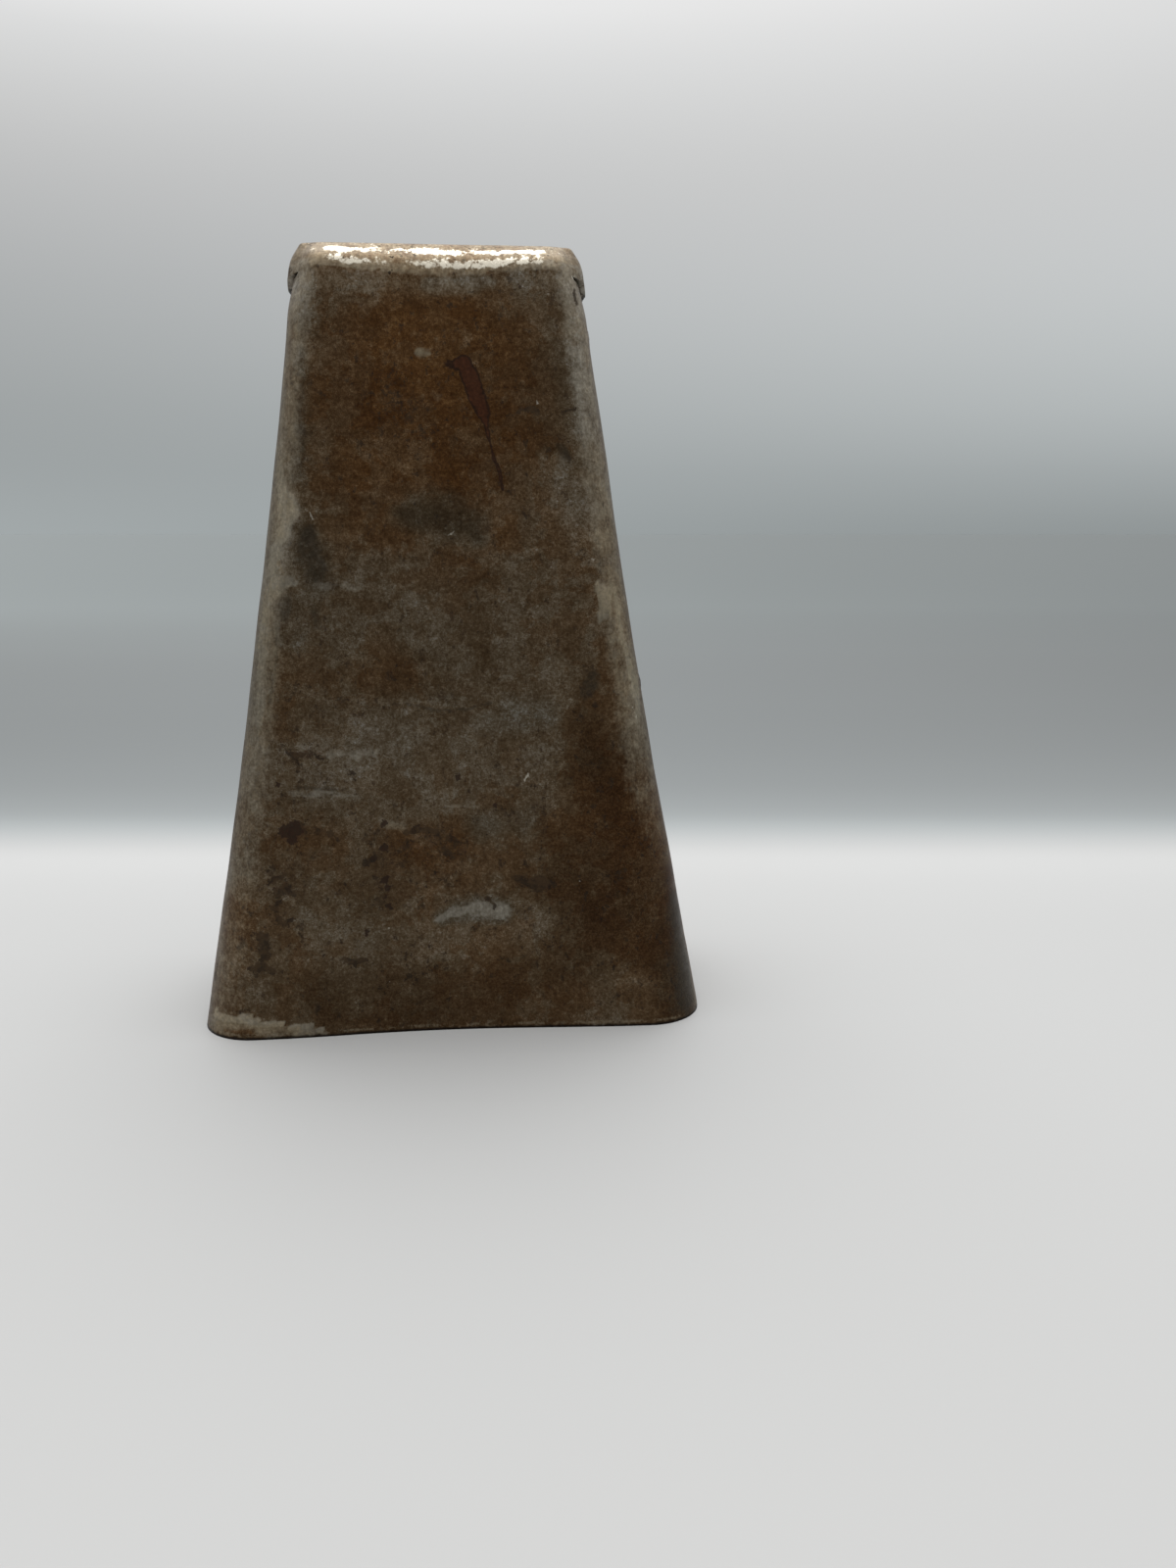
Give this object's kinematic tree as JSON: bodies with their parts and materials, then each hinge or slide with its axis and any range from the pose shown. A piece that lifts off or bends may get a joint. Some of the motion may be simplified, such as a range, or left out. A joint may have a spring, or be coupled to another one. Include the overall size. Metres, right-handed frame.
{
  "type": "cowbell",
  "caption": "Hand-held cowbell, a flat tapered bell of bent and tack-welded steel sheet, closed at the narrow end, struck on its wide mouth or front face.",
  "frame": {"origin": "middle of the mouth, on the plane of the mouth rim, which is the lowest plane of the bell as it stands", "axes": "+Z from the mouth to the closed end, +X across the bell to the right of its front face, -Y out of the struck front face"},
  "size_m": [0.1494, 0.074, 0.216],
  "materials": {
    "shell_steel": "bare mild steel sheet with a blotchy brown and grey patina, freckled rust and burnished bends",
    "weld_metal": "dark heat-tinted weld bead, slightly rippled"
  },
  "bodies": {
    "root": {"front_shell": "shell_steel", "back_shell": "shell_steel", "left_seam_tacks": "weld_metal", "right_seam_tacks": "weld_metal", "left_ear_tack": "weld_metal", "right_ear_tack": "weld_metal", "rear_lip_tacks": "weld_metal"}
  },
  "joints": []
}
